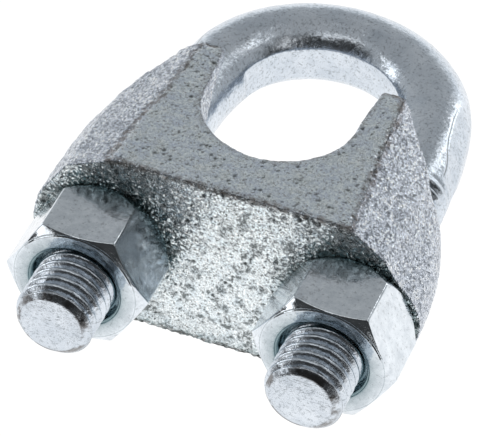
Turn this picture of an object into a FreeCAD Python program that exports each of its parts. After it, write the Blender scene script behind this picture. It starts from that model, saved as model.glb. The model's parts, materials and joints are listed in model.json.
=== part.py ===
# Wire rope clip: a cast saddle, a U-bolt with two threaded legs, and two hexagon nuts.
#
# Lengths are in millimetres. The origin is on the axis of the rope seat, half way through the
# saddle. Z is the rope's direction, X goes across the two legs, and Y runs along the legs towards
# the bow. The clip lies on the saddle's lower side face.

import FreeCAD, Part
import math
import os
import Sketcher

# Driving dimensions, in the order in which they stand in the sheet.
SIZES = {
    # saddle
    "saddle_thickness": 35.0,
    "base_depth": 23.5,
    "tip_height": 10.8,
    "seat_radius": 13.3,
    "mouth_half_width": 14.2,
    "face_half_width_base": 20.5,
    "face_half_width_tip": 18.1,
    "trough_radius": 14.8,
    "trough_height": 12.0,
    "leg_hole_radius": 7.4,
    # legs and bow
    "leg_spacing": 43.4,
    "bar_radius": 6.75,
    "bow_radius": 20.3,
    "bow_height": 19.2,
    "leg_end_depth": 46.8,
    "bow_flat_radius": 14.35,
    "bow_flat_start": 2.4,
    # thread
    "thread_pitch": 2.0,
    "thread_radius": 6.9,
    "thread_depth": 1.2,
    "thread_crest": 0.25,
    "thread_gap": 0.12,
    "thread_top": 8.0,
    "end_chamfer": 1.0,
    # nuts
    "across_flats": 22.0,
    "nut_height": 13.4,
    "nut_front_ring": 10.8,
    "nut_front_drop": 1.1,
    "nut_back_ring": 11.0,
    "nut_back_drop": 2.9,
    "countersink_radius": 8.1,
    "right_nut_turn": 2.6,
}

# How far the tools that trim a solid reach past it, and the thread's cutters past its surface.
MARGIN = 1.0
OVERSHOOT = 0.1

# The thread's flanks lean 30 degrees from the plane across the leg.
FLANK_SLOPE = math.tan(math.radians(30))

# Turns a solid's own Z axis onto the legs' direction, +Y.
ALONG_LEGS = FreeCAD.Rotation(FreeCAD.Vector(1, 0, 0), -90)

# From each leg the bar leans in along a wide bend, which meets the bow at this angle round it.
BEND_TURN = math.radians(15)

# Flank sections of the saddle, from the base to the tips: the height, then the right and the left
# wing. A wing is the flank's knee and the boss's edge, each as distances from the middle and from
# the mid-plane, and the boss's outermost point. The left wing is a little fuller.
FLANK_SECTIONS = [
    (-24.5, (26.8, 12.8, 30.2, 7.6, 34.0), (29.2, 13.4, 32.8, 7.6, 34.9)),
    (-18.0, (26.8, 12.6, 30.1, 7.6, 33.8), (29.1, 13.2, 32.7, 7.6, 34.6)),
    (-12.0, (26.7, 12.3, 29.9, 7.6, 33.1), (28.9, 12.9, 32.5, 7.6, 34.2)),
    (-7.0, (26.7, 11.9, 29.4, 7.5, 31.9), (28.8, 12.5, 32.1, 7.6, 33.5)),
    (-3.0, (26.6, 11.3, 28.8, 7.3, 30.5), (28.6, 11.8, 31.2, 7.5, 32.3)),
    (0.0, (26.2, 10.9, 27.9, 7.0, 29.6), (28.4, 11.3, 30.3, 7.4, 31.3)),
    (3.5, (24.5, 12.4, 27.0, 8.0, 28.6), (26.6, 12.5, 29.2, 8.0, 30.5)),
    (7.5, (21.7, 13.9, 25.5, 8.0, 27.2), (23.8, 14.0, 27.0, 8.0, 29.0)),
    (11.8, (18.9, 14.7, 23.0, 8.0, 25.2), (21.3, 14.9, 25.0, 8.0, 27.0)),
]


class Length:
    """A number together with the sheet expression that gives it."""

    def __init__(self, value, text):
        self.value = value
        self.text = text

    def __add__(self, other):
        other = length(other)
        return Length(self.value + other.value, "(%s + %s)" % (self.text, other.text))

    def __sub__(self, other):
        other = length(other)
        return Length(self.value - other.value, "(%s - %s)" % (self.text, other.text))

    def __mul__(self, factor):
        return Length(self.value * factor, "(%s * %r)" % (self.text, factor))

    def __neg__(self):
        return self * -1.0


def length(source):
    """A Length from a name in the sheet, a plain number or another Length."""
    if isinstance(source, Length):
        return source
    if isinstance(source, str):
        return Length(SIZES[source], "Dimensions." + source)
    return Length(float(source), "%r" % float(source))


def bind(obj, path, source):
    """Ties a property of an object to the sheet."""
    obj.setExpression(path, length(source).text)


def make_sheet(doc):
    sheet = doc.addObject("Spreadsheet::Sheet", "Dimensions")
    for row, (name, value) in enumerate(SIZES.items(), start=1):
        sheet.set("A%d" % row, name)
        sheet.set("B%d" % row, repr(value))
        sheet.setAlias("B%d" % row, name)
    doc.recompute()
    return sheet


def origin_plane(body, role):
    for feature in body.Origin.OriginFeatures:
        if feature.Role == role:
            return feature
    raise RuntimeError("no plane " + role)


def add_body(doc, name):
    body = doc.addObject("PartDesign::Body", name)
    return body


def sketch_on(body, name, role, offset=None):
    """A sketch on one of the body's own planes, moved along the plane's normal by offset."""
    sketch = body.newObject("Sketcher::SketchObject", name)
    sketch.AttachmentSupport = [(origin_plane(body, role), "")]
    sketch.MapMode = "FlatFace"
    if offset is not None:
        bind(sketch, ".AttachmentOffset.Base.z", offset)
    return sketch


def hold(sketch, geo, point, x, y):
    """Fixes one point of a sketch at the sheet lengths x and y."""
    for kind, source in (("DistanceX", length(x)), ("DistanceY", length(y))):
        index = sketch.addConstraint(Sketcher.Constraint(kind, -1, 1, geo, point, source.value))
        sketch.setExpression("Constraints[%d]" % index, source.text)


def polygon(sketch, corners):
    """A closed run of straight edges through corners, each an (x, y) pair of lengths."""
    corners = [(length(x), length(y)) for x, y in corners]
    count = len(corners)
    first = None
    for i in range(count):
        a = corners[i]
        b = corners[(i + 1) % count]
        start = FreeCAD.Vector(a[0].value, a[1].value, 0)
        end = FreeCAD.Vector(b[0].value, b[1].value, 0)
        geo = sketch.addGeometry(Part.LineSegment(start, end), False)
        if first is None:
            first = geo
        else:
            sketch.addConstraint(Sketcher.Constraint("Coincident", geo - 1, 2, geo, 1))
    sketch.addConstraint(Sketcher.Constraint("Coincident", first + count - 1, 2, first, 1))
    for i, (x, y) in enumerate(corners):
        hold(sketch, first + i, 1, x, y)
    return first


def arc_through(start, middle, end):
    points = [FreeCAD.Vector(p[0], p[1], 0) for p in (start, middle, end)]
    return Part.Arc(*points)


def flank_section(body, name, height, right_wing, left_wing):
    """One closed section across the saddle, at a height along the legs."""
    sketch = sketch_on(body, name, "XZ_Plane", length(-height))
    half = length("saddle_thickness") * 0.5
    rise = (height + SIZES["base_depth"]) / (SIZES["tip_height"] + SIZES["base_depth"])
    face = length("face_half_width_base") * (1 - rise) + length("face_half_width_tip") * rise
    corners = []
    arcs = {}
    for side, wing in ((1, right_wing), (-1, left_wing)):
        knee_x, knee_z, boss_x, boss_z, outer_x = wing
        run = [(face * side, (half + MARGIN) * side), (face * side, half * side),
               (length(knee_x * side), length(knee_z * side)),
               (length(boss_x * side), length(boss_z * side))]
        run += [(x, -z) for x, z in reversed(run)]
        bulge = outer_x - boss_x
        radius = (boss_z ** 2 + bulge ** 2) / (2.0 * bulge)
        arcs[len(corners) + 3] = (outer_x * side, radius)
        corners += run
    count = len(corners)
    for i in range(count):
        a = corners[i]
        b = corners[(i + 1) % count]
        if i in arcs:
            middle = (arcs[i][0], 0.0)
            bent = arc_through((a[0].value, a[1].value), middle, (b[0].value, b[1].value))
            sketch.addGeometry(bent, False)
        else:
            start = FreeCAD.Vector(a[0].value, a[1].value, 0)
            end = FreeCAD.Vector(b[0].value, b[1].value, 0)
            sketch.addGeometry(Part.LineSegment(start, end), False)
    # An arc that runs clockwise is stored the other way round, so its start is point 2.
    begin = [2 if i in arcs else 1 for i in range(count)]
    finish = [1 if i in arcs else 2 for i in range(count)]
    for i in range(count):
        after = (i + 1) % count
        joint = Sketcher.Constraint("Coincident", i, finish[i], after, begin[after])
        sketch.addConstraint(joint)
    for i, (x, z) in enumerate(corners):
        hold(sketch, i, begin[i], x, z)
    for i, (_, radius) in arcs.items():
        sketch.addConstraint(Sketcher.Constraint("Radius", i, radius))
    return sketch


def trim_box(body, name, size, corner):
    box = body.newObject("PartDesign::SubtractiveBox", name)
    for prop, source in zip(("Length", "Width", "Height"), size):
        bind(box, prop, source)
    for axis, source in zip("xyz", corner):
        bind(box, ".Placement.Base." + axis, source)
    return box


def make_saddle(doc):
    body = add_body(doc, "saddle")
    sections = []
    for number, row in enumerate(FLANK_SECTIONS):
        sections.append(flank_section(body, "flank_section_%d" % number, *row))
    doc.recompute()
    form = body.newObject("PartDesign::AdditiveLoft", "flank_form")
    form.Profile = sections[0]
    form.Sections = sections[1:]
    form.Ruled = True
    doc.recompute()

    # The flat side faces, the nuts' face and the flat tips.
    reach = 90.0
    half = length("saddle_thickness") * 0.5
    trim_box(body, "upper_face", (reach, reach, reach), (-reach / 2, -reach / 2, half))
    trim_box(body, "lower_face", (reach, reach, reach), (-reach / 2, -reach / 2, -half - reach))
    trim_box(body, "nut_face", (reach, reach, reach),
             (-reach / 2, -length("base_depth") - reach, -reach / 2))
    trim_box(body, "tip_face", (reach, reach, reach), (-reach / 2, "tip_height", -reach / 2))

    # The half-round rope seat, open at the top between the arms.
    outline = sketch_on(body, "seat_outline", "XY_Plane")
    seat = length("seat_radius")
    mouth = length("mouth_half_width")
    top = length("tip_height") + MARGIN
    arc = arc_through((-seat.value, 0.0), (0.0, -seat.value), (seat.value, 0.0))
    outline.addGeometry(arc, False)
    corners = [(seat, 0.0), (mouth, top), (-mouth, top), (-seat, 0.0)]
    for a, b in zip(corners, corners[1:]):
        start = FreeCAD.Vector(length(a[0]).value, length(a[1]).value, 0)
        end = FreeCAD.Vector(length(b[0]).value, length(b[1]).value, 0)
        outline.addGeometry(Part.LineSegment(start, end), False)
    for geo, point, other, other_point in ((0, 2, 1, 1), (1, 2, 2, 1), (2, 2, 3, 1), (3, 2, 0, 1)):
        outline.addConstraint(Sketcher.Constraint("Coincident", geo, point, other, other_point))
    for geo, (x, y) in zip((1, 2, 3), corners):
        hold(outline, geo, 1, x, y)
    hold(outline, 0, 3, 0.0, 0.0)
    outline.addConstraint(Sketcher.Constraint("PointOnObject", 0, 1, -1))
    seat_cut = body.newObject("PartDesign::Pocket", "rope_seat")
    seat_cut.Profile = outline
    seat_cut.Type = "ThroughAll"
    seat_cut.Midplane = True

    # The cross trough that parts each arm into two horns and lets the bow down between them.
    circle = sketch_on(body, "trough_outline", "YZ_Plane")
    ring = circle.addGeometry(Part.Circle(FreeCAD.Vector(SIZES["trough_height"], 0, 0),
                                          FreeCAD.Vector(0, 0, 1), SIZES["trough_radius"]), False)
    hold(circle, ring, 3, "trough_height", 0.0)
    size = circle.addConstraint(Sketcher.Constraint("Radius", ring, SIZES["trough_radius"]))
    bind(circle, "Constraints[%d]" % size, "trough_radius")
    trough = body.newObject("PartDesign::Pocket", "cross_trough")
    trough.Profile = circle
    trough.Type = "ThroughAll"
    trough.Midplane = True

    # The two holes for the legs.
    holes = sketch_on(body, "leg_hole_circles", "XZ_Plane")
    for side in (-1, 1):
        centre = length("leg_spacing") * (0.5 * side)
        ring = holes.addGeometry(Part.Circle(FreeCAD.Vector(centre.value, 0, 0),
                                             FreeCAD.Vector(0, 0, 1), SIZES["leg_hole_radius"]), False)
        hold(holes, ring, 3, centre, 0.0)
        size = holes.addConstraint(Sketcher.Constraint("Radius", ring, SIZES["leg_hole_radius"]))
        bind(holes, "Constraints[%d]" % size, "leg_hole_radius")
    leg_holes = body.newObject("PartDesign::Pocket", "leg_holes")
    leg_holes.Profile = holes
    leg_holes.Type = "ThroughAll"
    leg_holes.Midplane = True
    doc.recompute()
    body.Tip = leg_holes
    return body


def thread_tool(doc, name, leg_x, profile, low, reach):
    """A helical cutter about one leg's axis. profile holds (radius, offset along the leg)."""
    helix = doc.addObject("Part::Helix", name + "_path")
    bind(helix, "Pitch", "thread_pitch")
    bind(helix, "Height", reach)
    bind(helix, "Radius", "thread_radius")
    helix.SegmentLength = 1.0
    helix.Placement = FreeCAD.Placement(FreeCAD.Vector(0, 0, 0), ALONG_LEGS)
    bind(helix, ".Placement.Base.x", leg_x)
    bind(helix, ".Placement.Base.y", low)

    sketch = doc.addObject("Sketcher::SketchObject", name + "_profile")
    bind(sketch, ".Placement.Base.x", leg_x)
    bind(sketch, ".Placement.Base.y", low)
    polygon(sketch, profile)
    doc.recompute()
    sweep = doc.addObject("Part::Sweep", name)
    sweep.Sections = [sketch]
    turns = len(helix.Shape.Edges)
    sweep.Spine = (helix, ["Edge%d" % (i + 1) for i in range(turns)])
    sweep.Solid = True
    sweep.Frenet = True
    return sweep


def cylinder_along_y(doc, name, x, low, high, radius):
    rod = doc.addObject("Part::Cylinder", name)
    rod.Placement = FreeCAD.Placement(FreeCAD.Vector(0, 0, 0), ALONG_LEGS)
    bind(rod, ".Placement.Base.x", x)
    bind(rod, ".Placement.Base.y", low)
    bind(rod, "Height", length(high) - low)
    bind(rod, "Radius", radius)
    return rod


def bolt_groove(doc, name, leg_x):
    """The groove between the thread's ridges on one leg, from below its end up to the run-out."""
    depth = length("thread_depth")
    root = length("thread_radius") - depth
    half_crest = (length("thread_pitch") - "thread_crest") * 0.5
    half_root = half_crest - depth * FLANK_SLOPE
    outer = length("thread_radius") + OVERSHOOT
    half_outer = half_crest + OVERSHOOT * FLANK_SLOPE
    low = -length("leg_end_depth") - "thread_pitch"
    reach = length("leg_end_depth") + "thread_top" + "thread_pitch"
    profile = [(root, -half_root), (outer, -half_outer), (outer, half_outer), (root, half_root)]
    return thread_tool(doc, name, leg_x, profile, low, reach)


def nut_groove(doc, name, leg_x):
    """The groove inside a nut, which holds the leg's ridge with the thread gap all round."""
    gap = length("thread_gap")
    crest = length("thread_radius") + gap
    inner = crest - "thread_depth" - OVERSHOOT
    half_crest = length("thread_crest") * 0.5 + gap * (math.sqrt(1 + FLANK_SLOPE ** 2) - FLANK_SLOPE)
    half_inner = half_crest + (crest - inner) * FLANK_SLOPE
    low = -length("leg_end_depth") - length("thread_pitch") * 0.5
    reach = length("leg_end_depth") - "base_depth" + "thread_pitch"
    profile = [(inner, -half_inner), (crest, -half_crest), (crest, half_crest), (inner, half_inner)]
    return thread_tool(doc, name, leg_x, profile, low, reach)


def cone_ring(doc, name, x, low, high, low_radius, high_radius):
    cone = doc.addObject("Part::Cone", name)
    cone.Placement = FreeCAD.Placement(FreeCAD.Vector(0, 0, 0), ALONG_LEGS)
    bind(cone, ".Placement.Base.x", x)
    bind(cone, ".Placement.Base.y", low)
    bind(cone, "Height", length(high) - low)
    bind(cone, "Radius1", low_radius)
    bind(cone, "Radius2", high_radius)
    return cone


def bend(doc, name, radius, centre_x, centre_y, start, sweep):
    """A bent length of round bar in the XY plane, from the angle start over sweep degrees."""
    ring = doc.addObject("Part::Torus", name)
    bind(ring, "Radius1", radius)
    bind(ring, "Radius2", "bar_radius")
    ring.Angle3 = sweep
    ring.Placement = FreeCAD.Placement(FreeCAD.Vector(0, 0, 0),
                                       FreeCAD.Rotation(FreeCAD.Vector(0, 0, 1), start))
    bind(ring, ".Placement.Base.x", centre_x)
    bind(ring, ".Placement.Base.y", centre_y)
    return ring


def make_u_bolt(doc):
    # The wide bends start on the legs' axes and end on the bow's, along a shared direction.
    turn = math.degrees(BEND_TURN)
    bow_radius = length("bow_radius")
    half_spacing = length("leg_spacing") * 0.5
    wide = (half_spacing - bow_radius * math.cos(BEND_TURN)) * (1.0 / (1.0 - math.cos(BEND_TURN)))
    bend_start = length("bow_height") + (bow_radius - wide) * math.sin(BEND_TURN)
    pieces = [bend(doc, "bow", bow_radius, 0.0, "bow_height", turn, 180.0 - 2.0 * turn)]
    grooves = []
    for side, name, start in ((-1, "left", 180.0 - turn), (1, "right", 0.0)):
        leg_x = half_spacing * side
        end = -length("leg_end_depth")
        full = end + "end_chamfer"
        top = length("thread_top")
        crest = length("thread_radius")
        step = crest - "bar_radius"
        pieces.append(bend(doc, name + "_wide_bend", wide, leg_x - wide * side, bend_start,
                           start, turn))
        pieces.append(cylinder_along_y(doc, name + "_shank", leg_x, top, bend_start, "bar_radius"))
        pieces.append(cylinder_along_y(doc, name + "_thread_blank", leg_x, full, top - step, crest))
        pieces.append(cone_ring(doc, name + "_leg_end", leg_x, end, full,
                                crest - "end_chamfer", crest))
        pieces.append(cone_ring(doc, name + "_run_out", leg_x, top - step, top,
                                crest, "bar_radius"))
        grooves.append(bolt_groove(doc, name + "_leg_groove", leg_x))
    bar = doc.addObject("Part::MultiFuse", "bent_bar")
    bar.Shapes = pieces

    # The bow's inside is pressed flat, so that it bears on the rope along a broad band.
    die = doc.addObject("Part::Cylinder", "bow_die")
    bind(die, "Radius", "bow_flat_radius")
    bind(die, "Height", length("bar_radius") * 4)
    bind(die, ".Placement.Base.y", "bow_height")
    bind(die, ".Placement.Base.z", length("bar_radius") * -2)
    half_space = doc.addObject("Part::Box", "bow_die_reach")
    bind(half_space, "Length", length("leg_spacing") * 2)
    bind(half_space, "Width", "leg_spacing")
    bind(half_space, "Height", length("bar_radius") * 4)
    bind(half_space, ".Placement.Base.x", -length("leg_spacing"))
    bind(half_space, ".Placement.Base.y", length("bow_height") + "bow_flat_start")
    bind(half_space, ".Placement.Base.z", length("bar_radius") * -2)
    press = doc.addObject("Part::Common", "bow_press")
    press.Base = die
    press.Tool = half_space
    flattened = doc.addObject("Part::Cut", "flattened_bar")
    flattened.Base = bar
    flattened.Tool = press
    both = doc.addObject("Part::Compound", "leg_grooves")
    both.Links = grooves
    bolt = doc.addObject("Part::Cut", "u_bolt")
    bolt.Base = flattened
    bolt.Tool = both
    return bolt


def make_nut(doc, side, name, turn):
    """One nut: a hexagon with corners on the X axis, turned about its leg by turn degrees."""
    leg_x = length("leg_spacing") * (0.5 * side)
    body = add_body(doc, name + "_blank")
    body.Placement = FreeCAD.Placement(FreeCAD.Vector(0, 0, 0),
                                       FreeCAD.Rotation(FreeCAD.Vector(0, 1, 0), turn))
    bind(body, ".Placement.Base.x", leg_x)
    bind(body, ".Placement.Base.y", -length("base_depth"))

    # The nut's back face is the body's own plane y = 0, and its front face is at -nut_height.
    hexagon = sketch_on(body, "hexagon", "XZ_Plane")
    corner = length("across_flats") * (1.0 / math.sqrt(3))
    corners = [(corner * math.cos(math.radians(60 * i)), corner * math.sin(math.radians(60 * i)))
               for i in range(6)]
    polygon(hexagon, corners)
    prism = body.newObject("PartDesign::Pad", "prism")
    prism.Profile = hexagon
    bind(prism, "Length", "nut_height")
    doc.recompute()

    # Everything round is cut in one turn: the bore, its countersinks and both corner chamfers.
    turned = sketch_on(body, "turned_outline", "XY_Plane")
    front = -length("nut_height")
    minor = length("thread_radius") - "thread_depth" + "thread_gap"
    sink = length("countersink_radius")
    depth = sink - minor
    past = length(MARGIN)
    bore = [(0.0, past), (sink + past, past), (minor, -depth), (minor, front + depth),
            (sink + past, front - past), (0.0, front - past)]
    polygon(turned, bore)
    corner_radius = SIZES["across_flats"] / math.sqrt(3)
    for ring, drop, face, inward in (("nut_front_ring", "nut_front_drop", front, 1),
                                     ("nut_back_ring", "nut_back_drop", length(0.0), -1)):
        slope = SIZES[drop] / (corner_radius - SIZES[ring])
        wide = corner + past
        inner = face - past * (0.5 * inward)
        reach = length(drop) * inward + past * (slope * inward)
        start = length(ring) - past * (0.5 / slope)
        polygon(turned, [(start, inner), (wide, inner), (wide, face + reach)])
    groove = body.newObject("PartDesign::Groove", "turned_faces")
    groove.Profile = turned
    groove.ReferenceAxis = (turned, ["V_Axis"])
    groove.Angle = 360
    doc.recompute()
    body.Tip = groove

    cutter = nut_groove(doc, name + "_groove", leg_x)
    nut = doc.addObject("Part::Cut", name)
    nut.Base = body
    nut.Tool = cutter
    return nut


def check(doc, subparts):
    for obj in doc.Objects:
        if "Invalid" in obj.State or "Error" in obj.State:
            raise RuntimeError("%s failed: %s" % (obj.Label, obj.State))
    for part in subparts:
        shape = part.Shape
        if shape.isNull() or not shape.isValid() or len(shape.Solids) != 1:
            raise RuntimeError("%s has no single valid solid" % part.Label)


def main():
    doc = FreeCAD.newDocument("WireRopeClip")
    make_sheet(doc)
    subparts = [
        make_saddle(doc),
        make_u_bolt(doc),
        make_nut(doc, -1, "nut_left", 0.0),
        make_nut(doc, 1, "nut_right", SIZES["right_nut_turn"]),
    ]
    doc.recompute()
    check(doc, subparts)
    os.makedirs("parts", exist_ok=True)
    for part in subparts:
        part.Shape.exportStep("parts/%s.step" % part.Label)
        print(part.Label, "volume", round(part.Shape.Volume, 1))


main()
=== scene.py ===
# Looks of the wire rope clip: a rough zinc-plated casting, a glossy U-bolt with rolled threads and
# two hexagon nuts, on a pale floor. Shapes are worked out in mm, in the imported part's own frame,
# and the scene is in metres.

import json
import math
import random

import bmesh
import bpy
import numpy as np
from mathutils import Matrix, Vector, kdtree, noise


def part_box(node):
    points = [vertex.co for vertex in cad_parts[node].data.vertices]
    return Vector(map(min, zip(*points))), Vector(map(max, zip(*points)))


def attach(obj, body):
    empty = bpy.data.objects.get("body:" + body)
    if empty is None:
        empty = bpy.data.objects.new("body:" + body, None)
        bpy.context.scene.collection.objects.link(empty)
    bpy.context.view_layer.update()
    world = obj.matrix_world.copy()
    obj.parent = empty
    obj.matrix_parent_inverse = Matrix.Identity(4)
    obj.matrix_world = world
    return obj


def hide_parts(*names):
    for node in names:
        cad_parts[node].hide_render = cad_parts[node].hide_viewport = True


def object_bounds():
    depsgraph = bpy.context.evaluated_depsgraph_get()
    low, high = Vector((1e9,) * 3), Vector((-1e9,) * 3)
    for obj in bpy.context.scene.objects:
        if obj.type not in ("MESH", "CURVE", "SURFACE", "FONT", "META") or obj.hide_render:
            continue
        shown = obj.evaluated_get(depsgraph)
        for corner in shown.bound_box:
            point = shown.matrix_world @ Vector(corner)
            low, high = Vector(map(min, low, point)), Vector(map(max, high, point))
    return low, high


MM = 0.001

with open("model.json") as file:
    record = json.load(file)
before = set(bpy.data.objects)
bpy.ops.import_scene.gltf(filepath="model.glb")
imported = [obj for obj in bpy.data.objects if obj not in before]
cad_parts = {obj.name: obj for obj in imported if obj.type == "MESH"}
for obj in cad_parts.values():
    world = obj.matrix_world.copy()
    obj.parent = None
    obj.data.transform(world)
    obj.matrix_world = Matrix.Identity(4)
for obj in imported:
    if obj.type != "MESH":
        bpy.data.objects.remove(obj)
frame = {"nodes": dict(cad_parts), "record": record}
cad_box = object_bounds()

# ---------------------------------------------------------------- sizes in mm, read from the frame
SADDLE_LOW, SADDLE_HIGH = (np.array(corner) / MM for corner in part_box("saddle"))
BOLT_LOW, BOLT_HIGH = (np.array(corner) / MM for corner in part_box("u_bolt"))
NUT_LOW, NUT_HIGH = (np.array(corner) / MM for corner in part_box("nut_left"))
SEAT_RADIUS = frame["record"]["mounts"][0]["dims"]["r_mm"]

HALF = SADDLE_HIGH[2]
BASE = SADDLE_LOW[1]
THREAD_RADIUS = BOLT_HIGH[2]
LEG_X = BOLT_HIGH[0] - THREAD_RADIUS
LEG_END = BOLT_LOW[1]
FLAT_NUT = NUT_HIGH[2]
NUT_BACK = NUT_HIGH[1]
NUT_FRONT = NUT_LOW[1]

# ---------------------------------------------------------------- sizes in mm that the CAD part has too
BAR_RADIUS = 6.75
BOW_RADIUS = 20.3
BOW_CENTRE = BOLT_HIGH[1] - BOW_RADIUS - BAR_RADIUS
BEND_TURN = math.radians(15.0)
PRESSED_RADIUS = 14.35
PITCH = 2.0
THREAD_DEPTH = 1.2
THREAD_GAP = 0.12
THREAD_TOP = 8.0
SINK_RADIUS = 8.1
FRONT_RING = 10.8
FRONT_DROP = 1.1
BACK_RING = 11.0
BACK_DROP = 2.9

# ---------------------------------------------------------------- finer sizes in mm, for the looks
# each pair of heights is where something on the bar fades in or out: the thread, the pressing of
# the bow's inside, and the flats pressed on the two wide bends
THREAD_RUN_OUT = (THREAD_TOP - 4.2, THREAD_TOP - 0.2)
PRESSED_FROM = (BOW_CENTRE + 2.4 - 0.7, BOW_CENTRE + 2.4 + 0.5)
FLAT_BEGINS = (7.5, 9.5)
FLAT_ENDS = (21.0, 28.0)
FLAT_DEPTH = 0.4
CREASE_DEPTH = 0.15
# the marks of the bending die: degrees round from the bow's outside, width in degrees, height
DIE_MARKS = ((103.0, 7.0, 0.16), (118.0, 7.0, -0.05))
# where those marks fade in, in radians of the bar's turn
DIE_BEGINS = (0.35, 0.8)
# a leg's end: its face's radius, how fast it widens above that, and the face's rings, as
# (in from the rim, up from the face)
END_RADIUS = 5.55
END_SLOPE = 1.15
END_RINGS = ((0.04, 0.03), (0.12, 0.0), (0.3, 0.0), (2.0, 0.0), (3.7, 0.0), (5.1, 0.0))
# a nut: its edges' rounding, the corners' wear, the countersink's lip and the step at the ring
NUT_SOFT = 0.12
NUT_WEAR = 0.10
NUT_LIP = 0.25
NUT_STEP = 0.12
# the turned groove just inside that step, as (in from the step, back from the front face)
TURNED_GROOVE = ((0.28, 0.02), (0.17, 0.17), (0.09, 0.18), (0.02, NUT_STEP + 0.03))
# how far the casting's skin moves: by lumps and by grain on its side faces, its foot and elsewhere
LUMPS = (0.020, 0.07, 0.10)
GRAINS = (0.008, 0.035, 0.090)
WAVES = 0.10
PIT_DEPTH = 0.28
# the foot has this many pits, and so have the side faces together
PIT_COUNT = 260
# the casting's mesh, and how near two points count as one
VOXEL = 0.3
WELD_DISTANCE = 0.001


# ---------------------------------------------------------------- mesh helpers
def new_object(name, mesh):
    obj = bpy.data.objects.new(name, mesh)
    bpy.context.scene.collection.objects.link(obj)
    return obj


def grid_object(name, points, close_rows, close_columns, caps=()):
    """A mesh from a rows x columns x 3 array in mm. Each cap is a row index that gets a fan."""
    rows, columns = points.shape[:2]
    verts = [tuple(p) for p in (points.reshape(-1, 3) * MM)]
    faces = []
    for i in range(rows if close_rows else rows - 1):
        for j in range(columns if close_columns else columns - 1):
            a = i * columns + j
            b = i * columns + (j + 1) % columns
            c = ((i + 1) % rows) * columns + (j + 1) % columns
            d = ((i + 1) % rows) * columns + j
            faces.append((a, b, c, d))
    for row in caps:
        ring = list(range(row * columns, (row + 1) * columns))
        centre = points[row].mean(axis=0) * MM
        verts.append(tuple(centre))
        middle = len(verts) - 1
        for j in range(columns):
            pair = (ring[j], ring[(j + 1) % columns])
            faces.append((middle,) + (pair if row else pair[::-1]))
    mesh = bpy.data.meshes.new(name)
    mesh.from_pydata(verts, [], faces)
    made = bmesh.new()
    made.from_mesh(mesh)
    bmesh.ops.recalc_face_normals(made, faces=made.faces)
    made.to_mesh(mesh)
    made.free()
    mesh.shade_smooth()
    return new_object(name, mesh)


def weld(mesh):
    """Joins vertices that lie on each other, so that no face is left without area."""
    made = bmesh.new()
    made.from_mesh(mesh)
    bmesh.ops.remove_doubles(made, verts=made.verts, dist=WELD_DISTANCE * MM)
    made.to_mesh(mesh)
    made.free()


def store(mesh, **masks):
    """Keeps one number for each point under each name, for the material to read."""
    for name, values in masks.items():
        layer = mesh.attributes.new(name, "FLOAT", "POINT")
        layer.data.foreach_set("value", values.astype(np.float32))


def smoothstep(low, high, x):
    """0 below low, 1 above high, and a smooth rise between them."""
    t = np.clip((x - low) / (high - low), 0.0, 1.0)
    return t * t * (3.0 - 2.0 * t)


def thread_phase(y, angle):
    """0 in the middle of the groove and 1 on the crest, on a right-handed helix along +Y."""
    groove = LEG_END - PITCH + PITCH * (-angle) / (2.0 * math.pi)
    u = np.mod((y - groove) / PITCH + 0.5, 1.0) - 0.5
    return np.abs(u) * 2.0


def thread_height(phase):
    """Rolled thread's section from 0 to 1: a narrow root and a full, rounded crest."""
    return np.sin(0.5 * math.pi * np.clip((phase - 0.05) / 0.93, 0.0, 1.0))


# ---------------------------------------------------------------- the U-bolt
def bar_stations():
    """Points along the right half of the bar's middle line, each with its outward direction."""
    wide = (LEG_X - BOW_RADIUS * math.cos(BEND_TURN)) / (1.0 - math.cos(BEND_TURN))
    bend_start = BOW_CENTRE + (BOW_RADIUS - wide) * math.sin(BEND_TURN)
    stations = []
    for y in np.arange(LEG_END + 0.02, THREAD_TOP + 0.5, 0.19):
        stations.append((LEG_X, y, 0.0))
    for turn in np.linspace(0.0, BEND_TURN, 28, endpoint=False):
        x = LEG_X - wide + wide * math.cos(turn)
        stations.append((x, bend_start + wide * math.sin(turn), turn))
    for turn in np.linspace(BEND_TURN, math.pi / 2.0, 84):
        x = BOW_RADIUS * math.cos(turn)
        stations.append((x, BOW_CENTRE + BOW_RADIUS * math.sin(turn), turn))
    return stations


def crease_angle(y):
    """Where the press crease stands round the bar, from its outside: highest in mid bend."""
    climb = float(smoothstep(9.0, 17.0, y) - 0.6 * smoothstep(20.0, 28.0, y))
    return math.radians(42.0 + 16.0 * climb)


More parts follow.
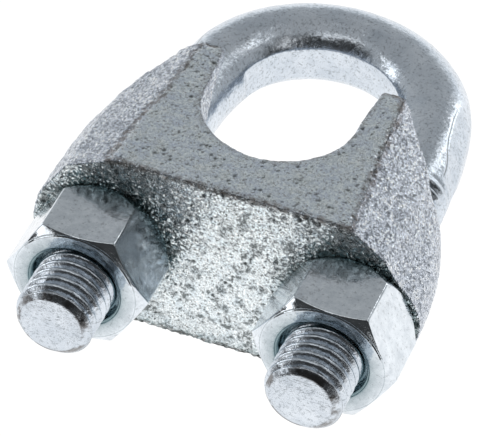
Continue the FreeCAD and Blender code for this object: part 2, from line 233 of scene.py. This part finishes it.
def u_bolt_mesh():
    columns = 152
    even = np.linspace(0.0, 2.0 * math.pi, columns, endpoint=False)
    crease_columns = [20, columns - 20]
    on_crease = np.zeros(columns)
    on_crease[crease_columns] = 1.0
    root = THREAD_RADIUS - THREAD_DEPTH
    pressed_to = BAR_RADIUS - FLAT_DEPTH
    half_width = math.acos(pressed_to / BAR_RADIUS)

    def ring_angles(y):
        """The columns' angles, eased so that one column above and one below follow the crease."""
        upper, lower = even[crease_columns]
        pull = np.exp(-((even - upper) / 0.5) ** 2) - np.exp(-((even - lower) / 0.5) ** 2)
        return even + (crease_angle(y) - upper) * pull

    def ring(x, y, turn, side):
        """One ring of the bar. Its first point is on the outside, and it runs towards +Z."""
        angle = ring_angles(y)
        around = angle if side > 0 else math.pi - angle
        threaded = root + THREAD_DEPTH * thread_height(thread_phase(y, around))
        threaded = np.minimum(threaded, END_RADIUS + END_SLOPE * (y - LEG_END))
        plain = float(smoothstep(*THREAD_RUN_OUT, y))
        radius = threaded * (1.0 - plain) + BAR_RADIUS * plain
        folded = np.minimum(angle, 2.0 * math.pi - angle)
        # each wide bend is pressed a little flat, up to a crease that climbs along the bar
        flat = float(smoothstep(*FLAT_BEGINS, y) * (1.0 - smoothstep(*FLAT_ENDS, y)))
        across = np.cos(folded - crease_angle(y) + half_width)
        pressed = np.minimum(radius, pressed_to / np.maximum(across, 0.3))
        radius = radius + flat * (pressed - CREASE_DEPTH * on_crease - radius)
        # the bending die leaves a low ridge and a hollow along the bow
        bowed = float(smoothstep(*DIE_BEGINS, turn))
        for middle, width, height in DIE_MARKS:
            off = (np.degrees(folded) - middle) / width
            radius = radius + bowed * height * np.exp(-off * off)
        out = radius * np.cos(angle)
        px = side * (x + out * math.cos(turn))
        py = y + out * math.sin(turn)
        pz = radius * np.sin(angle)
        # the bow's inside is pressed back to a cylinder about its own centre
        away = np.hypot(px, py - BOW_CENTRE)
        short = np.maximum(PRESSED_RADIUS - away, 0.0) * smoothstep(*PRESSED_FROM, py)
        scale = (away + short) / np.maximum(away, 1.0)
        px = np.where(short > 0.0, px * scale, px)
        py = np.where(short > 0.0, BOW_CENTRE + (py - BOW_CENTRE) * scale, py)
        return np.stack([px, py, pz, flat * on_crease], axis=1)

    def end_face(side):
        """The rings of a leg's end face, from its rim inwards, with a narrow rounding at the rim."""
        angle = ring_angles(LEG_END)
        rings = []
        for inset, lift in END_RINGS:
            radius = END_RADIUS - inset
            x = side * (LEG_X + radius * np.cos(angle))
            y = np.full(columns, LEG_END + lift)
            rings.append(np.stack([x, y, radius * np.sin(angle), np.zeros(columns)], axis=1))
        return rings

    stations = bar_stations()
    right = [ring(x, y, turn, 1) for x, y, turn in stations]
    left = [ring(x, y, turn, -1) for x, y, turn in stations]
    rows = np.array(end_face(1)[::-1] + right + left[-2::-1] + end_face(-1))
    bar = grid_object("bolt_bar", draw_in(rows[:, :, :3]), False, True, caps=(0, len(rows) - 1))

    # masks for the material: a leg end's rim, its cut face and the press crease, where shade is painted
    x, y, z = np.array([v.co for v in bar.data.vertices]).T / MM
    off = np.hypot(np.abs(x) - LEG_X, z)
    near_end = 1.0 - smoothstep(LEG_END + 0.5, LEG_END + 1.3, y)
    rim = smoothstep(END_RADIUS - 0.35, END_RADIUS, off) * near_end
    cut = 1.0 - smoothstep(LEG_END, LEG_END + 0.2, y)
    # the mask of the crease's painted shade; the two caps' middle points come after the rings' points
    fold = np.append(rows[:, :, 3].ravel(), (0.0, 0.0))
    store(bar.data, rim=rim, cut=cut, fold=fold)
    return bar


def draw_in(points):
    """Lets the bar in above the thread, by 0.035 mm on average and unevenly, like a worn surface."""
    worn = np.array([noise.noise(Vector(p) * 0.16) + 0.5 * noise.noise(Vector(p) * 0.45)
                     for p in points.reshape(-1, 3)]).reshape(points.shape[:2])
    above = smoothstep(THREAD_TOP, THREAD_TOP + 4.0, points[:, :, 1])
    spread = points - points.mean(axis=1, keepdims=True)
    spread = spread / np.maximum(np.linalg.norm(spread, axis=2, keepdims=True), 0.01)
    return points - spread * (0.035 + 0.055 * worn)[:, :, None] * above[:, :, None]


# ---------------------------------------------------------------- a nut
def nut_mesh(name, leg_x, turn):
    """A nut: closed rings through the bore to the front, back over the flats, and in at the rear."""
    columns = 360
    angle = np.linspace(0.0, 2.0 * math.pi, columns, endpoint=False)
    corner = FLAT_NUT / math.cos(math.radians(30.0))
    folded = np.mod(angle + turn, math.radians(60.0)) - math.radians(30.0)
    hexagon = FLAT_NUT / np.cos(np.abs(folded))
    hexagon = np.minimum(hexagon, corner - NUT_WEAR)
    minor = THREAD_RADIUS - THREAD_DEPTH + THREAD_GAP
    major = THREAD_RADIUS + THREAD_GAP
    depth = SINK_RADIUS - minor
    front_slope = FRONT_DROP / (corner - FRONT_RING)
    back_slope = BACK_DROP / (corner - BACK_RING)
    rows = []

    def ring(radius, y):
        radius = np.broadcast_to(radius, angle.shape)
        y = np.broadcast_to(y, angle.shape)
        x = leg_x + radius * np.cos(angle)
        rows.append(np.stack([x, y, radius * np.sin(angle)], axis=1))

    # bore, from the back to the front: its groove holds the bolt's crest, so both share one phase
    for y in np.arange(NUT_BACK - depth, NUT_FRONT + depth, -0.125):
        ring(minor + (major - minor) * thread_height(thread_phase(y, angle)), y)
    # front countersink and its rounded lip
    for share in (0.15, 0.5, 0.85, 0.96):
        ring(minor + depth * share, NUT_FRONT + depth * (1.0 - share))
    for a in np.radians([200, 225, 250, 270]):
        ring(SINK_RADIUS + NUT_LIP + NUT_LIP * math.cos(a), NUT_FRONT + NUT_LIP + NUT_LIP * math.sin(a))
    # front face, out to its turned groove
    for share in (0.1, 0.5, 0.9, 1.0):
        ring(SINK_RADIUS + 0.3 + (FRONT_RING - SINK_RADIUS - 0.55) * share, NUT_FRONT)
    # the groove, then the slope out to the corners
    start = np.minimum(FRONT_RING + 0.1, hexagon - NUT_SOFT)
    for inset, sunk in TURNED_GROOVE:
        ring(start - inset, NUT_FRONT + sunk)
    for share in (0.06, 0.5, 0.9):
        radius = start + (hexagon - NUT_SOFT - start) * share
        ring(radius, NUT_FRONT + NUT_STEP + np.maximum(radius - FRONT_RING, 0.0) * front_slope)
    # rounded shoulder, the flats and the rear shoulder
    low = NUT_FRONT + NUT_STEP + np.maximum(hexagon - FRONT_RING, 0.0) * front_slope
    high = NUT_BACK - np.maximum(hexagon - BACK_RING, 0.0) * back_slope
    ring(hexagon - NUT_SOFT * 0.25, low + NUT_SOFT * 0.35)
    for share in (0.0, 0.03, 0.5, 0.97, 1.0):
        ring(hexagon, low + NUT_SOFT + (high - low - 2.0 * NUT_SOFT) * share)
    ring(hexagon - NUT_SOFT * 0.25, high - NUT_SOFT * 0.35)
    # rear slope, rear face and rear countersink
    start = np.minimum(BACK_RING, hexagon - NUT_SOFT)
    for share in (0.9, 0.5, 0.06, 0.0):
        radius = start + (hexagon - NUT_SOFT - start) * share
        ring(radius, NUT_BACK - 0.03 - np.maximum(radius - BACK_RING, 0.0) * back_slope)
    for share in (0.97, 0.9, 0.5, 0.1):
        ring(SINK_RADIUS + 0.3 + (BACK_RING - SINK_RADIUS - 0.5) * share, NUT_BACK)
    for share in (0.96, 0.85, 0.5, 0.15):
        ring(minor + depth * share, NUT_BACK - depth * (1.0 - share))
    nut = grid_object(name, np.array(rows), True, True)
    # on the flats the slopes have no width, so their rings lie on each other there
    weld(nut.data)
    return nut


# ---------------------------------------------------------------- the casting
def cast_saddle():
    """The CAD casting's shape as an even fine mesh, with its edges softened and its skin roughened."""
    source = frame["nodes"]["saddle"]
    obj = new_object("saddle_casting", source.data.copy())
    obj.data.materials.clear()
    weld(obj.data)
    remesh = obj.modifiers.new("voxels", "REMESH")
    remesh.mode = "VOXEL"
    remesh.voxel_size = VOXEL * MM
    smooth = obj.modifiers.new("soften", "SMOOTH")
    smooth.factor = 0.5
    smooth.iterations = 8
    bpy.context.view_layer.update()
    graph = bpy.context.evaluated_depsgraph_get()
    mesh = bpy.data.meshes.new_from_object(obj.evaluated_get(graph))
    obj.modifiers.clear()
    old = obj.data
    obj.data = mesh
    bpy.data.meshes.remove(old)
    roughen(mesh)
    mesh.shade_smooth()
    return obj


def roughen(mesh):
    """Moves the casting's skin by waves, lumps, grain and pits, and stores the material's masks."""
    count = len(mesh.vertices)
    co = np.empty(count * 3)
    no = np.empty(count * 3)
    mesh.vertices.foreach_get("co", co)
    mesh.vertices.foreach_get("normal", no)
    co = co.reshape(-1, 3) / MM
    no = no.reshape(-1, 3)
    y, z = co.T[1:]

    # which face a point is on
    side = smoothstep(0.80, 0.97, np.abs(no[:, 2])) * smoothstep(HALF - 1.2, HALF - 0.5, np.abs(z))
    foot = smoothstep(0.80, 0.97, -no[:, 1]) * (1.0 - smoothstep(BASE + 0.4, BASE + 1.0, y))
    rest = np.clip(1.0 - side - foot, 0.0, 1.0)

    def by_face(amounts):
        return amounts[0] * side + amounts[1] * foot + amounts[2] * rest

    wave = np.array([noise.noise(Vector(p) * 0.13) for p in co])
    lump = np.array([noise.fractal(Vector(p) * 0.42, 0.8, 2.0, 3) for p in co])
    grain = np.array([noise.fractal(Vector(p) * 1.05, 0.6, 2.1, 3) for p in co])
    move = WAVES * wave + lump * by_face(LUMPS)
    move += grain * by_face(GRAINS)
    pits = pit_mask(co, side, foot)
    move -= pits * PIT_DEPTH
    arris = arris_mask(mesh, co, side, lump)
    move -= arris * (0.12 + 0.35 * np.clip(grain, -0.6, 0.8))
    co = co + no * move[:, None]
    # nothing stands out of the CAD casting's box
    co = np.clip(co, SADDLE_LOW + 0.02, SADDLE_HIGH - 0.02)
    mesh.vertices.foreach_set("co", (co * MM).ravel())
    store(mesh, pit=pits, side=side, foot=foot, arris=arris)
    mesh.update()


def arris_mask(mesh, co, side, lump):
    """A ragged band about 1 mm wide along the arrises of the flat side faces."""
    edges = np.empty(len(mesh.edges) * 2, dtype=np.int64)
    mesh.edges.foreach_get("vertices", edges)
    a, b = edges.reshape(-1, 2).T
    crossing = (side[a] > 0.5) != (side[b] > 0.5)
    border = np.unique(a[crossing])
    tree = kdtree.KDTree(len(border))
    for i in border:
        tree.insert(co[i], int(i))
    tree.balance()
    away = np.full(len(co), 9.0)
    for i in np.flatnonzero(np.abs(co[:, 2]) > HALF - 2.0):
        away[i] = tree.find(co[i])[2]
    band = 1.0 - smoothstep(0.45, 1.05, away + 0.45 * np.clip(lump, -0.8, 0.8))
    # the seat's arris is worn less than the outer ones
    from_rope = np.hypot(co[:, 0], np.minimum(co[:, 1], 0.0))
    return band * (0.35 + 0.65 * smoothstep(SEAT_RADIUS + 1.3, SEAT_RADIUS + 2.7, from_rope))


def pit_mask(co, side, foot):
    """Casting pits: hollows scattered over the foot, where the nuts stand, and over the side faces."""
    random.seed(7)
    tree = kdtree.KDTree(len(co))
    for i, p in enumerate(co):
        tree.insert(p, i)
    tree.balance()
    pits = np.zeros(len(co))
    for face, largest in ((foot, 0.55), (side, 0.5)):
        points = np.flatnonzero(face > 0.8)
        for _ in range(PIT_COUNT):
            centre = co[points[random.randrange(len(points))]]
            size = random.uniform(0.25, largest)
            depth = random.uniform(0.35, 1.0)
            for p, i, d in tree.find_range(centre, size * 1.8):
                pits[i] = max(pits[i], depth * math.exp(-(d / size) ** 2 * 2.0))
    return pits


# ---------------------------------------------------------------- materials
WHITE = (1.0, 1.0, 1.0)
# how near, in metres, a surface has to be to shelter another one
SHELTER_REACH = 0.007


class Nodes:
    """Short calls for building a material's node tree. A value may be a number or another output."""

    def __init__(self, name):
        self.material = bpy.data.materials.new(name)
        self.material.use_nodes = True
        self.tree = self.material.node_tree
        self.shader = self.tree.nodes["Principled BSDF"]
        self.place = self.tree.nodes.new("ShaderNodeTexCoord").outputs["Object"]

    def add(self, kind, **values):
        node = self.tree.nodes.new(kind)
        for key, value in values.items():
            setattr(node, key, value)
        return node

    def link(self, source, target):
        self.tree.links.new(source, target)

    def noise(self, scale, detail=4.0, roughness=0.6, stretch=None):
        node = self.add("ShaderNodeTexNoise")
        node.inputs["Scale"].default_value = scale
        node.inputs["Detail"].default_value = detail
        node.inputs["Roughness"].default_value = roughness
        if stretch is None:
            self.link(self.place, node.inputs["Vector"])
        else:
            mapping = self.add("ShaderNodeMapping")
            mapping.inputs["Scale"].default_value = stretch
            self.link(self.place, mapping.inputs["Vector"])
            self.link(mapping.outputs["Vector"], node.inputs["Vector"])
        return node.outputs["Fac"]

    def ramp(self, source, *stops):
        """Stops are (position, grey or colour) pairs."""
        node = self.add("ShaderNodeValToRGB")
        elements = node.color_ramp.elements
        while len(elements) < len(stops):
            elements.new(0.5)
        for element, (position, colour) in zip(elements, stops):
            element.position = position
            if isinstance(colour, (int, float)):
                colour = (colour, colour, colour)
            element.color = (*colour, 1.0)
        self.link(source, node.inputs["Fac"])
        return node.outputs["Color"]

    def attribute(self, name):
        node = self.add("ShaderNodeAttribute")
        node.attribute_name = name
        return node.outputs["Fac"]

    def math(self, operation, a, b=0.0):
        node = self.add("ShaderNodeMath", operation=operation)
        for socket, value in zip(node.inputs, (a, b)):
            if isinstance(value, (int, float)):
                socket.default_value = value
            else:
                self.link(value, socket)
        return node.outputs[0]

    def shelter(self):
        """1 in the open, falling to 0 deep in a corner."""
        node = self.add("ShaderNodeAmbientOcclusion", samples=8)
        node.inputs["Distance"].default_value = SHELTER_REACH
        return node.outputs["AO"]

    def mix(self, factor, a, b, blend="MIX"):
        node = self.add("ShaderNodeMix", data_type="RGBA", blend_type=blend)
        sockets = (node.inputs["Factor"], node.inputs[6], node.inputs[7])
        for socket, value in zip(sockets, (factor, a, b)):
            if isinstance(value, (int, float)):
                socket.default_value = value
            elif isinstance(value, tuple):
                socket.default_value = (*value, 1.0)
            else:
                self.link(value, socket)
        return node.outputs[2]

    def facets(self, scale, tilt):
        """A normal tilted at random in each small crystal, and a random number for each crystal."""
        wobble = self.add("ShaderNodeTexNoise")
        wobble.inputs["Scale"].default_value = scale * 0.8
        self.link(self.place, wobble.inputs["Vector"])
        bent = self.vector("SCALE", wobble.outputs["Color"], 0.7 / scale)
        crystal = self.add("ShaderNodeTexVoronoi")
        crystal.inputs["Scale"].default_value = scale
        self.link(self.vector("ADD", self.place, bent), crystal.inputs["Vector"])
        lean = self.vector("SUBTRACT", crystal.outputs["Color"], (0.5, 0.5, 0.5))
        lean = self.vector("SCALE", lean, tilt)
        face = self.add("ShaderNodeNewGeometry").outputs["Normal"]
        return self.vector("NORMALIZE", self.vector("ADD", face, lean)), crystal.outputs["Color"]

    def vector(self, operation, a, b=None):
        node = self.add("ShaderNodeVectorMath", operation=operation)
        self.link(a, node.inputs[0])
        target = node.inputs["Scale"] if operation == "SCALE" else node.inputs[1]
        if isinstance(b, (int, float, tuple)):
            target.default_value = b
        elif b is not None:
            self.link(b, target)
        return node.outputs[0]

    def bump(self, *layers, base=None):
        """Stacks (height, distance in mm, strength) layers and links them to the shader."""
        normal = base
        for height, distance, strength in layers:
            node = self.add("ShaderNodeBump")
            node.inputs["Distance"].default_value = distance * MM
            node.inputs["Strength"].default_value = strength
            self.link(height, node.inputs["Height"])
            if normal is not None:
                self.link(normal, node.inputs["Normal"])
            normal = node.outputs["Normal"]
        self.link(normal, self.shader.inputs["Normal"])

    def set(self, name, value):
        socket = self.shader.inputs[name]
        if isinstance(value, (int, float)):
            socket.default_value = value
        elif isinstance(value, tuple):
            socket.default_value = (*value, 1.0)
        else:
            self.link(value, socket)


def cast_material():
    n = Nodes("cast_zinc")
    side = n.attribute("side")
    foot = n.attribute("foot")
    arris = n.attribute("arris")
    skin = n.math("SUBTRACT", n.math("SUBTRACT", 1.0, side), n.math("MULTIPLY", foot, 0.78))

    # colour: mottled zinc, with a tint of its own on the skin, the side faces and the foot
    patch = n.noise(420.0, 5.0, 0.7)
    mottle = n.ramp(n.noise(2600.0, 3.0, 0.75), (0.36, 0.70), (0.60, 1.08))
    side_tint = n.ramp(patch, (0.32, (0.80, 0.88, 1.0)), (0.62, (0.91, 0.98, 1.0)))
    skin_tint = n.ramp(patch, (0.32, (0.60, 0.635, 0.69)), (0.64, (0.88, 0.92, 0.99)))
    foot_tint = n.ramp(patch, (0.36, (0.77, 0.85, 0.89)), (0.54, (0.92, 0.98, 1.0)))
    colour = n.mix(side, skin_tint, side_tint)
    colour = n.mix(foot, colour, foot_tint)
    colour = n.mix(1.0, colour, mottle, "MULTIPLY")
    # crystals lean more where a nut shelters the skin from wear
    shelter = n.shelter()
    kept = n.ramp(shelter, (0.55, 1.0), (0.98, 0.09))
    facets, crystal = n.facets(2800.0, n.math("ADD", n.math("MULTIPLY", skin, 0.85), kept))
    glint = n.ramp(crystal, (0.15, (0.52, 0.54, 0.56)), (0.75, (1.30, 1.32, 1.36)))
    colour = n.mix(1.0, colour, n.mix(skin, WHITE, glint), "MULTIPLY")
    # dark strokes and specks, most on the side faces
    strokes = n.math("ABSOLUTE", n.math("SUBTRACT", n.noise(700.0, 4.0, 0.65), 0.5))
    strokes = n.ramp(strokes, (0.0, 1.0), (0.016, 0.0))
    here = n.ramp(n.noise(420.0, 3.0), (0.50, 0.0), (0.60, 1.0))
    specks = n.ramp(n.noise(2100.0, 4.0, 0.7), (0.545, 0.0), (0.625, 1.0))
    dark = n.math("MAXIMUM", n.math("MULTIPLY", strokes, here), specks)
    dark = n.math("MULTIPLY", dark, n.math("ADD", side, 0.35))
    colour = n.mix(n.math("MULTIPLY", dark, 0.55), colour, (0.16, 0.16, 0.16))
    # clusters of hollows on the foot and the pits, dark partly from dirt and partly as painted shade
    # inside them, and the worn arrises
    cluster = n.ramp(n.noise(330.0, 2.0, 0.5), (0.53, 0.0), (0.60, 1.0))
    cracks = n.math("MULTIPLY", n.ramp(n.noise(1300.0, 6.0, 0.8), (0.515, 0.0), (0.545, 1.0)), cluster)
    dots = n.ramp(n.noise(2100.0, 3.0, 0.7), (0.60, 0.0), (0.63, 1.0))
    hollows = n.math("MULTIPLY", n.math("MAXIMUM", cracks, dots), foot)
    colour = n.mix(n.math("MULTIPLY", hollows, 0.85), colour, (0.06, 0.075, 0.075))
    # the pits are darkened: partly dirt, partly painted shade in their hollows
    pits = n.ramp(n.attribute("pit"), (0.15, 0.0), (0.6, 1.0))
    colour = n.mix(n.math("MULTIPLY", pits, 0.85), colour, (0.06, 0.07, 0.07))
    worn = n.ramp(n.noise(900.0, 5.0, 0.8), (0.40, 0.0), (0.60, 1.0))
    worn = n.math("MULTIPLY", worn, arris)
    colour = n.mix(n.math("MULTIPLY", worn, 0.85), colour, (0.27, 0.23, 0.205))
    # painted shade where the nuts sit against the casting, darkest deep in the corners, with a ragged
    # edge
    ragged = n.math("MULTIPLY", n.math("SUBTRACT", n.noise(1500.0, 4.0, 0.75), 0.5), 1.6)
    painted_shade = n.ramp(n.math("ADD", shelter, ragged), (0.36, (0.34, 0.40, 0.40)), (0.70, WHITE))
    colour = n.mix(1.0, colour, painted_shade, "MULTIPLY")
    n.set("Base Color", colour)
    n.set("Metallic", n.math("SUBTRACT", 0.97, n.math("MULTIPLY", worn, 0.5)))
    n.set("Roughness", n.ramp(n.noise(800.0, 3.0), (0.3, 0.12), (0.7, 0.24)))

    # relief: crystal faces and grain, strong on the cast skin and faint on the flat sides
    coarse = n.math("MULTIPLY", n.noise(1100.0, 3.0, 0.65), skin)
    fine = n.math("MULTIPLY", n.noise(2600.0, 2.0, 0.6), n.math("ADD", skin, 0.25))
    sunk = n.math("MULTIPLY", n.math("MAXIMUM", hollows, dark), -1.0)
    n.bump((coarse, 0.40, 1.0), (fine, 0.12, 1.0), (sunk, 0.08, 1.0), base=facets)
    return n.material


def bar_material():
    n = Nodes("bar_zinc")
    # colour: clouded zinc with dark specks, a worn rim round each end and painted shade along the press
    # crease
    patch = n.noise(180.0, 5.0, 0.65)
    base = n.ramp(patch, (0.3, (0.58, 0.64, 0.71)), (0.7, (0.77, 0.82, 0.88)))
    specks = n.ramp(n.noise(1700.0, 5.0, 0.8), (0.53, 0.0), (0.61, 1.0))
    base = n.mix(n.math("MULTIPLY", specks, 0.55), base, (0.22, 0.25, 0.27))
    worn = n.ramp(n.noise(300.0, 5.0, 0.7), (0.44, 0.0), (0.56, 1.0))
    worn = n.math("MULTIPLY", worn, n.attribute("rim"))
    base = n.mix(n.math("MULTIPLY", worn, 0.80), base, (0.13, 0.115, 0.105))
    # the press crease's dark line is painted shade
    fold = n.ramp(n.attribute("fold"), (0.35, 0.0), (0.85, 1.0))
    base = n.mix(n.math("MULTIPLY", fold, 0.85), base, (0.08, 0.09, 0.09))
    n.set("Base Color", base)
    n.set("Metallic", 1.0)
    n.set("Roughness", n.ramp(n.noise(500.0, 4.0), (0.3, 0.13), (0.7, 0.28)))
    # relief: faint crystals, grain and waves, and cutting marks on the legs' end faces
    cut = n.attribute("cut")
    facets, _ = n.facets(1900.0, n.math("ADD", 0.08, n.math("MULTIPLY", cut, 0.02)))
    grain = n.noise(1500.0, 4.0)
    waves = n.noise(90.0, 3.0)
    marks = n.math("MULTIPLY", n.noise(1.0, 3.0, 0.7, (500.0, 500.0, 3200.0)), cut)
    n.bump((grain, 0.06, 1.0), (waves, 0.25, 1.0), (marks, 0.06, 1.0), base=facets)
    return n.material


def nut_material():
    n = Nodes("nut_zinc")
    # colour: clouded zinc with specks, and painted shade where the nut is near the casting or the leg
    patch = n.noise(450.0, 8.0, 0.75)
    base = n.ramp(patch, (0.36, (0.65, 0.70, 0.75)), (0.62, (0.85, 0.90, 0.95)))
    specks = n.ramp(n.noise(1300.0, 4.0, 0.7), (0.57, 0.0), (0.65, 1.0))
    base = n.mix(n.math("MULTIPLY", specks, 0.4), base, (0.25, 0.26, 0.26))
    # painted shade, darkest where the casting or the leg shelters the nut
    painted_shade = n.ramp(n.shelter(), (0.58, (0.21, 0.29, 0.295)), (0.95, WHITE))
    n.set("Base Color", n.mix(1.0, base, painted_shade, "MULTIPLY"))
    n.set("Metallic", 1.0)
    n.set("Roughness", n.ramp(n.noise(400.0, 4.0), (0.3, 0.06), (0.7, 0.15)))
    facets, _ = n.facets(1500.0, 0.03)
    n.bump((n.noise(650.0, 4.0), 0.05, 1.0), (n.noise(120.0, 3.0), 0.16, 1.0), base=facets)
    return n.material


def floor_material():
    material = bpy.data.materials.new("pale_floor")
    material.use_nodes = True
    tree = material.node_tree
    tree.nodes.remove(tree.nodes["Principled BSDF"])
    glow = tree.nodes.new("ShaderNodeEmission")
    glow.inputs["Color"].default_value = (1.0, 1.0, 1.0, 1.0)
    glow.inputs["Strength"].default_value = 1.06
    tree.links.new(glow.outputs["Emission"], tree.nodes["Material Output"].inputs["Surface"])
    return material


# ---------------------------------------------------------------- stage, lights and camera
FLOOR_HALF = 3.0
LIGHT_DISTANCE = 0.6
# name, azimuth from +Y towards +X, elevation, width and height in degrees, and brightness
SOFTBOXES = (
    ("left_strip", -98.0, 19.0, 15.0, 34.0, 2.0),
    ("back_strip", 31.0, 22.0, 12.0, 34.0, 1.5),
    ("front_right", 116.0, 38.0, 11.0, 22.0, 1.0),
    ("right_patch", 62.0, 50.0, 14.0, 14.0, 1.3),
    ("front_top", 190.0, 64.0, 40.0, 12.0, 0.8),
    ("front_left", 226.0, 5.0, 16.0, 16.0, 1.3),
)


def sheet(name, corners, level):
    """One flat face from four corners at one height."""
    mesh = bpy.data.meshes.new(name)
    mesh.from_pydata([(x, y, level) for x, y in corners], [], [(0, 1, 2, 3)])
    return new_object(name, mesh)


def flag(name, corners, level):
    """A black card that the metal reflects, as in a product studio. The camera doesn't see it."""
    card = sheet(name, corners, level)
    card.visible_camera = False
    card.data.materials.append(card_material())


def card_material():
    material = bpy.data.materials.new("black_card")
    material.use_nodes = True
    shader = material.node_tree.nodes["Principled BSDF"]
    shader.inputs["Base Color"].default_value = (0.02, 0.02, 0.022, 1.0)
    shader.inputs["Roughness"].default_value = 0.9
    return material


def softbox(name, azimuth, elevation, width, height, glow):
    """A rectangular light facing the part, placed and sized in degrees as seen from the part."""
    turn = math.radians(azimuth)
    lift = math.radians(elevation)
    level = math.cos(lift)
    towards = Vector((math.sin(turn) * level, math.cos(turn) * level, math.sin(lift)))
    light = bpy.data.lights.new(name, "AREA")
    light.shape = "RECTANGLE"
    light.size = 2.0 * LIGHT_DISTANCE * math.tan(math.radians(width / 2.0))
    light.size_y = 2.0 * LIGHT_DISTANCE * math.tan(math.radians(height / 2.0))
    light.energy = glow * math.pi * light.size * light.size_y
    obj = bpy.data.objects.new(name, light)
    bpy.context.scene.collection.objects.link(obj)
    obj.location = towards * LIGHT_DISTANCE
    obj.rotation_euler = towards.to_track_quat("Z", "Y").to_euler()


def studio_world():
    """A grey room: a bright backdrop low down behind the part, and dark in front of it."""
    world = bpy.data.worlds.new("studio")
    bpy.context.scene.world = world
    world.use_nodes = True
    tree = world.node_tree
    place = tree.nodes.new("ShaderNodeTexCoord").outputs["Generated"]
    parts = tree.nodes.new("ShaderNodeSeparateXYZ")
    tree.links.new(place, parts.inputs[0])

    def fade(source, low, high, from_value, to_value):
        node = tree.nodes.new("ShaderNodeMapRange")
        node.interpolation_type = "SMOOTHSTEP"
        for socket, value in zip(node.inputs[1:5], (low, high, from_value, to_value)):
            socket.default_value = value
        tree.links.new(source, node.inputs[0])
        return node.outputs[0]

    def join(operation, a, b):
        node = tree.nodes.new("ShaderNodeMath")
        node.operation = operation
        tree.links.new(a, node.inputs[0])
        tree.links.new(b, node.inputs[1])
        return node.outputs[0]

    # heights are sines of the elevation
    sky = fade(parts.outputs["Z"], 0.1, 1.0, 0.46, 0.37)
    backdrop = join("MULTIPLY", fade(parts.outputs["Z"], 0.04, 0.34, 0.55, 0.0),
                    fade(parts.outputs["Y"], 0.55, 0.9, 0.0, 1.0))
    # the dark front reaches up to about 60 degrees
    front = tree.nodes.new("ShaderNodeVectorMath")
    front.operation = "DOT_PRODUCT"
    front.inputs[1].default_value = (0.342, -0.940, 0.0)
    tree.links.new(place, front.inputs[0])
    shade = join("MULTIPLY", fade(parts.outputs["Z"], 0.78, 0.93, 0.90, 0.0),
                 fade(front.outputs["Value"], 0.22, 0.50, 0.0, 1.0))
    keep = tree.nodes.new("ShaderNodeMath")
    keep.operation = "SUBTRACT"
    keep.inputs[0].default_value = 1.0
    tree.links.new(shade, keep.inputs[1])
    total = join("MULTIPLY", join("ADD", sky, backdrop), keep.outputs[0])
    background = tree.nodes["Background"]
    background.inputs["Color"].default_value = (0.94, 0.975, 1.0, 1.0)
    tree.links.new(total, background.inputs["Strength"])


def build_stage():
    level = float(cad_box[0][2])
    half = FLOOR_HALF
    floor = sheet("floor", [(-half, -half), (half, -half), (half, half), (-half, half)], level)
    floor.data.materials.append(floor_material())
    # the card lies in front of the part, 1 mm above the floor
    half, far, near = 0.45, -1.2, -0.08
    flag("front_flag", [(-half, far), (half, far), (half, near), (-half, near)], level + MM)
    studio_world()
    for row in SOFTBOXES:
        softbox(*row)


def build_camera():
    azimuth = math.radians(18.74)
    elevation = math.radians(42.47)
    roll = math.radians(3.37)
    distance = 0.689
    lens_to_width = 8.582
    aim = Vector((-2.85, -10.27, 0.0)) * MM
    forward = Vector((-math.sin(azimuth) * math.cos(elevation),
                      math.cos(azimuth) * math.cos(elevation), -math.sin(elevation)))
    level = Vector((math.cos(azimuth), math.sin(azimuth), 0.0))
    above = level.cross(forward)
    right = level * math.cos(roll) + above * math.sin(roll)
    up = right.cross(forward)
    camera = bpy.data.cameras.new("camera")
    camera.sensor_width = 36.0
    camera.lens = lens_to_width * camera.sensor_width
    camera.clip_start = 0.01
    obj = bpy.data.objects.new("camera", camera)
    bpy.context.scene.collection.objects.link(obj)
    turn = Matrix((right, up, -forward)).transposed()
    obj.matrix_world = Matrix.Translation(aim - forward * distance) @ turn.to_4x4()
    bpy.context.scene.camera = obj


# ---------------------------------------------------------------- assembly
def dress(obj, body, node, material):
    """Gives a piece its material, the body it rides on and the CAD node it stands in for."""
    obj.data.materials.clear()
    obj.data.materials.append(material)
    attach(obj, body)
    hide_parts(node)


def plain(bounds):
    """Bounds as plain lists of numbers."""
    return [[float(v) for v in corner] for corner in bounds]


bpy.context.scene.view_settings.view_transform = "Standard"
build_camera()
build_stage()
nut_zinc = nut_material()
# the two nuts don't stand alike: the right one is turned by this much
right_turn = math.radians(2.6)
dress(cast_saddle(), "saddle", "saddle", cast_material())
dress(u_bolt_mesh(), "u_bolt", "u_bolt", bar_material())
dress(nut_mesh("left_nut", -LEG_X, 0.0), "nut_left", "nut_left", nut_zinc)
dress(nut_mesh("right_nut", LEG_X, right_turn), "nut_right", "nut_right", nut_zinc)
